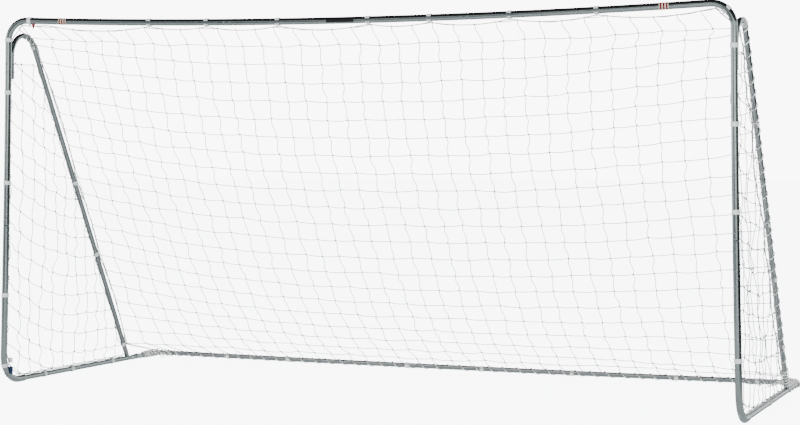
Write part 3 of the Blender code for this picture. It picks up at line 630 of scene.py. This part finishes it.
row_of_clips("beam", "crossbar", [(beam_at(x), beam_at(x).where(0, x), x) for x in crossbar_clips],
             (-1.0195, -0.3338, 0.4245, 1.2081), -Z_AXIS, clip_grey, main_r)
row_of_clips("ground", "rear_bar",
             [(rear_bar_route, rear_bar_route.where(0, x), x) for x in rear_bar_clips],
             (-1.7287, -0.9796, -0.2667, 0.6549, 1.6108), rear_hook, clip_white)
clip("beam_clip_9", frames[1], frames[1].where(0, 1.785), Vector((-1, 0, -1)), main_r, clip_grey)
for side, word in sides:
    goal, stay = frames[side], stays[side]
    row_of_clips(word + "_upright", word + "_post", [(goal, goal.where(2, z), z) for z in post_clips[side]],
                 {-1: (1.0051, 0.4473), 1: (0.9146, 0.2807)}[side], Y_AXIS, clip_grey, main_r)
    row_of_clips(word + "_backstay", word + "_stay",
                 [(stay, stay.where(2, z), z) for z in stay_clips[side]],
                 {-1: (0.9961, 0.6103), 1: (0.8367, 0.2445)}[side], -side * X_AXIS, clip_white)
    row_of_clips(word + "_ground_side", "",
                 [(goal, goal.where(1, post_y + back), back) for back in bar_clips[side]],
                 (), Z_AXIS, clip_white)
clip("left_backstay_clip_4", stays[-1], stays[-1].where(2, 1.690, last=True), -Y_AXIS, thin_r, clip_grey)


# The net is pale knotted twine, 36 cells wide and 22 deep at the back, with a triangle of the same mesh
# on each side. It hangs slack from a border cord under the crossbar and is tied down to the rear bar.
def twine_finish(name, tint, shade, turns, relief_depth):
    """Laid cord: three strands twisted together, a little fuzzy, with painted shade darkening the grooves.
    """
    made = Finish(bpy.data.materials.new(name))
    spot = made.parts(made.node("Attribute", {"attribute_name": "straight"})["Vector"])
    phase = made.angle(spot["Y"], spot["X"]) * 3.0 + spot["Z"] * (turns * math.tau)
    lay = made.node("Math", {"operation": "SINE"}, {0: phase})["Value"] * 0.5 + 0.5
    fuzz = made.noise(made.node("TexCoord")["Object"], 700.0, 2.0)
    # The darker grey in the grooves between the strands is painted shade, not a colour of the twine.
    return made.surface({
        "Base Color": made.mix(lay * 0.7 + fuzz * 0.3, shade, tint), "Roughness": 0.85,
        "Specular IOR Level": 0.25, "Sheen Weight": 0.3,
        "Normal": made.bump(0.6, relief_depth, lay + fuzz * 0.4)})


net_twine = twine_finish("net_twine_white", (0.30, 0.31, 0.32), (0.17, 0.18, 0.19), 260, 0.0004)
border_cord = twine_finish("border_cord_white", (0.36, 0.37, 0.38), (0.20, 0.21, 0.22), 160, 0.0006)
lacing_cord = twine_finish("lacing_cord_white", (0.93, 0.93, 0.92), (0.74, 0.74, 0.74), 220, 0.0004)
twine_r, cord_r, lace_r, knot_r, wrap_r = 0.0019, 0.0024, 0.0022, 0.0036, 0.0016
columns, rows, mesh_side = 36, 22, 0.104
hand = random.Random(11)
draw = hand.uniform


def clamp(value, low, high):
    return min(max(value, low), high)


def jitter(x, y, z):
    return Vector([draw(-reach, reach) for reach in (x, y, z)])


def arch(share):
    """How deep a bow is at a share of its length."""
    return 4 * share * (1 - share)


strand_bm = bmesh.new()
sweep(strand_bm, Route([(0, 0, share) for share in spaced(0, 1, 4)]), [(0, twine_r), (1, twine_r)], 5)
strand_mesh = stored(strand_bm, "strand_form")
knot_bm = bmesh.new()
bmesh.ops.create_uvsphere(knot_bm, u_segments=6, v_segments=4, radius=knot_r)
bmesh.ops.scale(knot_bm, verts=knot_bm.verts, vec=(1.0, 0.85, 1.35))
wrap = bmesh.ops.create_circle(knot_bm, segments=5, radius=wrap_r,
                               matrix=Matrix.Translation((0.0037, 0, 0)) @ quarter_turn)["verts"]
bmesh.ops.spin(knot_bm, geom=list({e for v in wrap for e in v.link_edges}) + wrap, cent=(0, 0, 0),
               axis=(0.35, 0, 1), angle=math.tau, steps=9, use_merge=True)
knot_bm.verts.layers.float_vector.new("straight")
knot_mesh = stored(knot_bm, "knot_form")


def knotted(name, cells, bow, node):
    """Twine along every edge of a mesh of cells, and a knot where the strands meet."""
    net = bmesh.new()
    for _ in cells.edges:
        net.from_mesh(strand_mesh)
    for _ in cells.verts:
        net.from_mesh(knot_mesh)
    net.verts.ensure_lookup_table()
    straight = net.verts.layers.float_vector["straight"]
    per_strand, per_knot = len(strand_mesh.vertices), len(knot_mesh.vertices)
    for number, edge in enumerate(cells.edges):
        a, b = sorted((v.co for v in edge.verts), key=lambda p: (round(p.x, 2), -p.z))
        along = b - a
        side = along.cross(Y_AXIS if abs(along.normalized().y) < 0.9 else X_AXIS).normalized()
        upward = side.cross(along).normalized()
        slack = bow(a, b)
        for vert in net.verts[number * per_strand:(number + 1) * per_strand]:
            x, y, share = vert.co
            vert.co = a + along * share + slack(share) + side * x + upward * y
            vert[straight] = (x, y, share * along.length)
    first = per_strand * len(cells.edges)
    for number, knot in enumerate(cells.verts):
        turn = Matrix.Rotation(draw(-0.6, 0.6), 3, "Y") @ Matrix.Rotation(draw(-0.6, 0.6), 3, "X")
        for vert in net.verts[first + number * per_knot:first + (number + 1) * per_knot]:
            vert[straight] = vert.co.copy()
            vert.co = knot.co + turn @ vert.co
    cells.free()
    return piece(name, net, net_twine, replaced=[node], crease=80)


hook_reach, hook_side = 0.0043, 0.0017


def cord_seat(route, mark, hook, tube_r):
    """Where a clip's hook holds the cord beside a tube."""
    heading = route.heading(mark)
    hook = square_to(heading, hook)
    return route.at(mark) + hook * (tube_r + hook_reach) - hook.cross(heading) * hook_side


def crossbar_seat(x):
    return cord_seat(beam_at(x), beam_at(x).where(0, x), -Z_AXIS, main_r)


def rear_seat(x):
    route = rear_bar_route if abs(x) < 1.69 else frames[-1 if x < 0 else 1]
    return cord_seat(route, route.where(0, x, last=True), rear_hook, thin_r)


def post_seat(side, z):
    return cord_seat(frames[side], frames[side].where(2, z), Y_AXIS, main_r)


def stay_seat(side, z):
    return cord_seat(stays[side], stays[side].where(2, z, last=True), -side * X_AXIS, thin_r)


def sag_between(value, held, depth):
    """How far a cord hangs at a place between the clips that hold it."""
    after = next((h for h in held if h >= value), held[-1])
    before = max((h for h in held if h <= value), default=held[0])
    if after - before < 1e-6:
        return 0.0
    return arch((value - before) / (after - before)) * min(depth, depth * (after - before) / 0.5)


top_half, bottom_half = 1.740, 1.790
held_above = (-top_half, -1.60, *crossbar_clips[1:], top_half)
held_below = (-bottom_half, *[x for x in rear_bar_clips if abs(x) < bottom_half], bottom_half)
held_beside = {side: (0.05, *reversed(stay_clips[side]), hook_hold, 1.80)
               for side, hook_hold in ((-1, 1.655), (1, 1.60))}

# Seen from the side, the middle of the net leans back evenly and then runs out flat behind.
middle_line = [crossbar_seat(0) - Z_AXIS * 0.006]
for row in range(1, rows):
    lean = math.radians(34.5 + 26 * max(0, (row - 11) / 10) ** 2)
    middle_line.append(middle_line[-1] + mesh_side * Vector((0, math.sin(lean), -math.cos(lean))))
middle = Route(middle_line + [rear_seat(0)])

# Its edges follow the backstays from the hooks down to the rear corners.
edge_pitch = {-1: 0.0968, 1: 0.1025}
edges_of = {}
for side, _ in sides:
    down = [stay_seat(side, z) for z in spaced(1.70, 0.10, 40)]
    for point in down:
        point.x -= side * sag_between(point.z, held_beside[side], 0.018)
    edges_of[side] = Route(down + [rear_seat(side * bottom_half)])


def on_net(x, z):
    """The point of the net's surface at a width and a height."""
    low, high = middle.points[-1].z, middle.points[0].z
    across = middle.at(middle.where(2, clamp(z, low + 0.001, high - 0.001))).y
    slope = edges_of[-1 if x < 0 else 1]
    beside = slope.at(slope.where(2, clamp(z, 0.03, 1.69))).y
    return Vector((x, across + (beside - across) * min(abs(x) / 1.82, 1) ** 4, z))


def border_above(x):
    x = clamp(x, -top_half, top_half)
    return crossbar_seat(x) - Z_AXIS * sag_between(x, held_above, 0.024)


def border_below(x):
    x = clamp(x, -bottom_half, bottom_half)
    return rear_seat(x) - Y_AXIS * sag_between(x, held_below, 0.012)


def back_net_point(v, row):
    """A knot of the back net: v from side to side, and the row counted down from the crossbar. The top
    rows are drawn to the right, less so at the left, and the edge columns follow the backstays."""
    side = -1 if v < 0 else 1
    drift = 0.092 * (max(8 - max(row, 1), 0) / 7) ** 1.4 - 0.0032 * max(row - 8, 0)
    drift -= 0.012 if row == 0 else 0
    drift *= 1 - (0.68 * abs(v) ** 2.5 if v < 0 else 0)
    x = -0.042 + 1.786 * v + 0.055 * v * v + drift
    if row == 0:
        return border_above(x)
    if row == rows:
        return border_below(x)
    edge = edges_of[side].at(max(row - 2, 0) * edge_pitch[side])
    if row == 1:
        edge = stay_seat(side, 1.735) if side < 0 else Vector((side * 1.80, post_y + 0.05, 1.725))
    if abs(v) > 0.999:
        return edge
    z = middle.at(row * mesh_side).z
    z += (edge.z - z) * abs(v) ** 2.4
    x += (edge.x - x) * abs(v) ** 40
    return on_net(x, z)


cells = bmesh.new()
bmesh.ops.create_grid(cells, x_segments=columns, y_segments=rows, size=1)
for vert in cells.verts:
    v, row = vert.co.x, round((1 - vert.co.y) / 2 * rows)
    vert.co = back_net_point(v, row)
    if abs(v) < 0.999 and 0 < row < rows:
        vert.co += jitter(0.006, 0.004, 0.005)
        vert.co.z = max(vert.co.z, 0.006)


def back_bow(a, b):
    """Rows sag a little between knots; columns leave each knot upright and slant in between."""
    if abs(b.x - a.x) > 0.05:
        depth = draw(0.0005, 0.0045)
        return lambda t: Z_AXIS * -depth * arch(t)
    reach = min(a.z, b.z) * 0.12
    sway, belly = draw(0.002, 0.007), min(draw(-0.002, 0.004), reach)
    return lambda t: Vector((-sway * math.sin(math.tau * t), belly * arch(t), -belly * arch(t)))


knotted("back_net_twine", cells, back_bow, "back_net")


# The side nets are triangles of the same mesh between post, side bar and backstay. They were cut on
# the slope and are slack, so their strands wave and sag.
def side_cells(side, droop, wave, wander):
    """The cells of a side net: its columns hang upright, and its rows drop away from the post."""
    across, high, pitch, top = 11, 18, 0.101, 1.60
    front, low = post_y + main_r + hook_reach, ground_z + thin_r + 0.012
    slope = (stay_foot_y - hook_y) / (hook_corner_z - ground_z)
    back = stay_foot_y - (low - ground_z) * slope - 0.021
    cells = bmesh.new()
    bmesh.ops.create_grid(cells, x_segments=across, y_segments=high, size=1)
    for vert in cells.verts:
        column, row = (vert.co.x + 1) / 2 * across, (vert.co.y + 1) / 2 * high
        fallen = droop * (1 - (1 - min(column / 7, 1)) ** 2)
        vert.co = (0, front + column * (back - front) / across, low + (row - 0.35) * pitch - fallen)
    for place, out in (((0, 0, low), -Z_AXIS), ((0, back, low), Vector((0, 1, slope)).normalized()),
                       ((0, 0, top), Z_AXIS)):
        bmesh.ops.bisect_plane(cells, geom=cells.verts[:] + cells.edges[:] + cells.faces[:], dist=0.004,
                               plane_co=place, plane_no=out, clear_outer=True)
    for vert in cells.verts:
        y, z = vert.co.y, vert.co.z
        share, edge = (y - front) / (back - front), (back - (z - low) * slope - y) / (back - front)
        stay_x = stays[side].at(stays[side].where(2, clamp(z, 0.09, top), last=True)).x
        vert.co.x = post_seat(side, clamp(z, 0.16, top)).x * (1 - share) + stay_x * share
        if 0 < share and edge > 0.01 and z > low + 0.02:
            loose = clamp(4 * min(share, edge, (z - low) / 0.8), 0, 1)
            vert.co.x -= side * loose * wave * math.sin(7 * y + 5 * z)
            vert.co += jitter(wander, wander, wander) * loose
    return cells


def slack_bow(amount):
    """Slack strands bow to either side, once or twice, and sag."""
    def bow(a, b):
        drop, sway = draw(0.2, 1.0) * amount, draw(-1, 1) * amount
        turn = hand.choice((1, 2))
        reach = min(drop, 0.5 * (min(a.z, b.z) - 0.035))
        return lambda t: (Vector((sway * 0.6, sway, 0)) * math.sin(turn * math.pi * t)
                          - Z_AXIS * reach * arch(t))
    return bow


knotted("left_side_net_twine", side_cells(-1, 0.21, 0.016, 0.009), slack_bow(0.011), "left_side_net")
knotted("right_side_net_twine", side_cells(1, 0.09, 0.012, 0.011), slack_bow(0.009), "right_side_net")


# A thicker border cord runs through the hooks of the clips all round the net, and a lacing cord winds
# round the backstays and the rear bar. The spare cord is gathered at the rear corners.
def cord_piece(name, routes, radius=cord_r, around=8, material=border_cord):
    bm = bmesh.new()
    for route in routes:
        sweep(bm, route, [(0, radius * 0.6), (radius, radius), (route.length - radius, radius),
                          (route.length, radius * 0.6)], around)
    return piece(name, bm, material)


def smooth_route(points, steps=6):
    """A smooth line through a few points."""
    points = [Vector(p) for p in points]
    tails = [2 * points[0] - points[1]] + points + [2 * points[-1] - points[-2]]
    line = []
    for a, b, c, d in zip(tails, tails[1:], tails[2:], tails[3:]):
        for t in spaced(0, 1, steps)[:-1]:
            line.append(0.5 * ((2 * b) + (c - a) * t + (2 * a - 5 * b + 4 * c - d) * t ** 2
                               + (3 * b - a - 3 * c + d) * t ** 3))
    return Route(line + [points[-1]])


def wound(route, start, end, radius, turns, phase=0.0, uneven=0.0, steps=12):
    """A cord wound round a tube from one distance to another, and kept above the ground."""
    line = []
    side = Z_AXIS if abs(route.heading(start).z) < 0.9 else X_AXIS
    for i in range(int(turns * steps) + 1):
        mark = start + (end - start) * i / (turns * steps)
        heading = route.heading(mark)
        side = square_to(heading, side)
        angle = phase + math.tau * i / steps
        out = side * math.cos(angle) + heading.cross(side) * math.sin(angle)
        line.append(route.at(mark) + out * radius * (1 + draw(0, uneven)))
        line[-1].z = max(line[-1].z, lace_r + 0.0001)
    return Route(line)


cord_piece("top_border_cord", [Route([border_above(x) for x in spaced(-top_half, top_half, 140)])])
cord_piece("bottom_border_cord", [Route([border_below(x) for x in spaced(-bottom_half, bottom_half, 90)])])
lace_reach = thin_r + 0.0024
for side, word in sides:
    goal, stay = frames[side], stays[side]
    edge_line = [edges_of[side].at(mark) for mark in spaced(0, edges_of[side].length, 44)]
    front = [post_seat(side, z) for z in spaced(1.60, 0.16, 24)]
    for number, point in enumerate(front):
        point.y += abs(math.sin(number * 1.3)) * 0.004
    low_line = [goal.at(goal.where(1, post_y + back)) + Vector((-side * 0.002, 0, thin_r + 0.0026))
                for back in spaced(0.14, 1.13, 24)]
    for number, point in enumerate(low_line):
        point.z += abs(math.sin(number * 1.1)) * 0.002
    corner = crossbar_seat(side * top_half)
    top = smooth_route([corner, post_seat(side, 1.70), front[0]], 8)
    turn = smooth_route([front[-1], Vector((front[-1].x, post_y + 0.055, 0.085)), low_line[0]])
    to_hook = smooth_route([corner, Vector((side * 1.77, post_y + 0.03, 1.765)),
                            back_net_point(side, 1), back_net_point(side, 2)])
    cord_piece(word + "_side_border_cord",
               [Route(edge_line), top, Route(front), turn, Route(low_line), to_hook])

    # The left lacing stops below the hook and runs on as a doubled line. The right one reaches the foot.
    lace_top = stay.marks[max(range(len(stay.points)), key=lambda i: stay.points[i].z)]
    lace_end = stay.where(2, 1.69 if side < 0 else 0.075, last=True)
    lace_turns = round((lace_end - lace_top) / (0.035 if side < 0 else 0.066))
    lacing = [wound(stay, lace_top, lace_end, lace_reach, lace_turns, 0.6, 0.06)]
    if side < 0:
        lacing.append(smooth_route([stay_seat(side, z) + Vector((draw(0.006, 0.016), 0.004, 0))
                                    for z in spaced(1.55, 0.12, 26)], 3))
    bar_start, bar_end = goal.where(1, post_y + 1.21), goal.length - 0.02
    bar_turns = round((bar_end - bar_start) / 0.080)
    lacing.append(wound(goal, bar_start, bar_end, lace_reach, bar_turns, 1.1, 0.06))
    if side > 0:
        lacing.append(wound(stay, stay.where(2, 0.125, last=True), stay.where(2, 0.040, last=True),
                            thin_r + 0.0040, 6, 0.2, 0.15))
        lacing.append(wound(stay, lace_top + 0.01, lace_top + 0.06, thin_r + 0.0030, 2.5, 0.4, 0.1))
    cord_piece(word + "_lacing", lacing, lace_r, 6, lacing_cord)

    corner_mark = goal.where(1, rear_y - 0.055)
    heap = []
    for number in range(7):
        start = corner_mark + draw(-0.02, 0.05) - (0.028 * number if side < 0 else 0)
        heap.append(wound(goal, start, start + draw(0.05, 0.10), thin_r + 0.0035 + 0.0018 * (number % 3),
                          draw(2.2, 4.2), draw(0, 6), 0.25))
    for number in range(5):
        a = goal.at(corner_mark + draw(-0.03, 0.10)) + Vector((-side * 0.01, -0.02, 0.012))
        b = a + Vector((-side * draw(0.02, 0.07), -draw(0.02, 0.07), draw(-0.008, 0.01)))
        c = b + Vector((-side * draw(0.02, 0.06), draw(-0.03, 0.03), 0))
        b.z, c.z = max(b.z, 0.004), 0.004
        heap.append(smooth_route([a, b, c], 8))
    cord_piece(word + "_corner_gather", heap, lace_r, 6, lacing_cord)


# Films and tags. Printed plastic film is glued round the crossbar near both ends and at its middle, here
# left bare. A small woven flag hangs from the net's cord under the crossbar, and two cloth tags are sewn
# to the side cord at the left post's foot.
film_cream = moulded("label_film_cream", (0.50, 0.44, 0.36), 0.45)
film_red = moulded("label_film_red", (0.10, 0.010, 0.012), 0.45)
film_dark = moulded("label_film_dark", (0.004, 0.004, 0.0045), 0.45)
flag_red = twine_finish("woven_flag_red", (0.30, 0.02, 0.06), (0.20, 0.012, 0.035), 300, 0.0003)
tag_navy = twine_finish("woven_tag_navy", (0.03, 0.05, 0.13), (0.015, 0.025, 0.07), 300, 0.0003)


def film(name, route, mark, length, facing, spread, layer, material):
    """A thin film glued part of the way round the crossbar, over the layers under it."""
    bm = bmesh.new()
    strips, around = [], 14
    for along in spaced(mark - length / 2, mark + length / 2, 8):
        heading = route.heading(along)
        out = square_to(heading, facing)
        strips.append([bm.verts.new(route.at(along) + (
            out * math.cos(turn) + heading.cross(out) * math.sin(turn)) * (main_r + layer * touch))
            for turn in spaced(-spread, spread, around)])
    for near, far in zip(strips, strips[1:]):
        for i in range(around):
            bm.faces.new((near[i], near[i + 1], far[i + 1], far[i]))
    bmesh.ops.recalc_face_normals(bm, faces=bm.faces)
    bmesh.ops.solidify(bm, geom=bm.faces[:], thickness=0.0002)
    return piece(name, bm, material)


def cloth_tag(name, outline, material):
    """A flat piece of woven cloth, half a millimetre thick."""
    bm = bmesh.new()
    bm.faces.new([bm.verts.new(corner) for corner in outline])
    bmesh.ops.solidify(bm, geom=bm.faces[:], thickness=0.0005)
    return piece(name, bm, material)


for side, word in sides:
    goal = frames[side]
    mark = goal.where(0, side * 1.505 + 0.006)
    film(word + "_film_band", goal, mark, 0.042, -Y_AXIS, 1.9, 1, film_cream)
    for number, away in enumerate((-0.0135, 0.0, 0.0135), 1):
        film(f"{word}_film_stripe_{number}", goal, mark + away, 0.008, -Y_AXIS, 1.9, 2, film_red)
film("middle_film_patch", crossbar_route, crossbar_route.where(0, -0.013), 0.138, Vector((0, -1, 0.1)),
     0.72, 1, film_dark)
flag_x, flag_y, flag_top = -1.664, post_y - 0.009, crossbar_z(-1.664) - main_r + 0.0014
cloth_tag("crossbar_flag", [(flag_x - 0.012, flag_y, flag_top), (flag_x + 0.012, flag_y, flag_top),
                            (flag_x, flag_y - 0.002, flag_top - 0.032)], flag_red)
tag_x, tag_y = frames[-1].at(frames[-1].where(2, 0.16)).x + 0.018, post_y + 0.030
for name, low, high, wide, cloth in (("post_tag_navy", 0.052, 0.088, 0.013, tag_navy),
                                     ("post_tag_pale", 0.108, 0.134, 0.012, lacing_cord)):
    cloth_tag(name, [(tag_x - wide, tag_y, low), (tag_x + wide, tag_y + 0.003, low),
                     (tag_x + wide, tag_y + 0.003, high), (tag_x - wide, tag_y, high)], cloth)
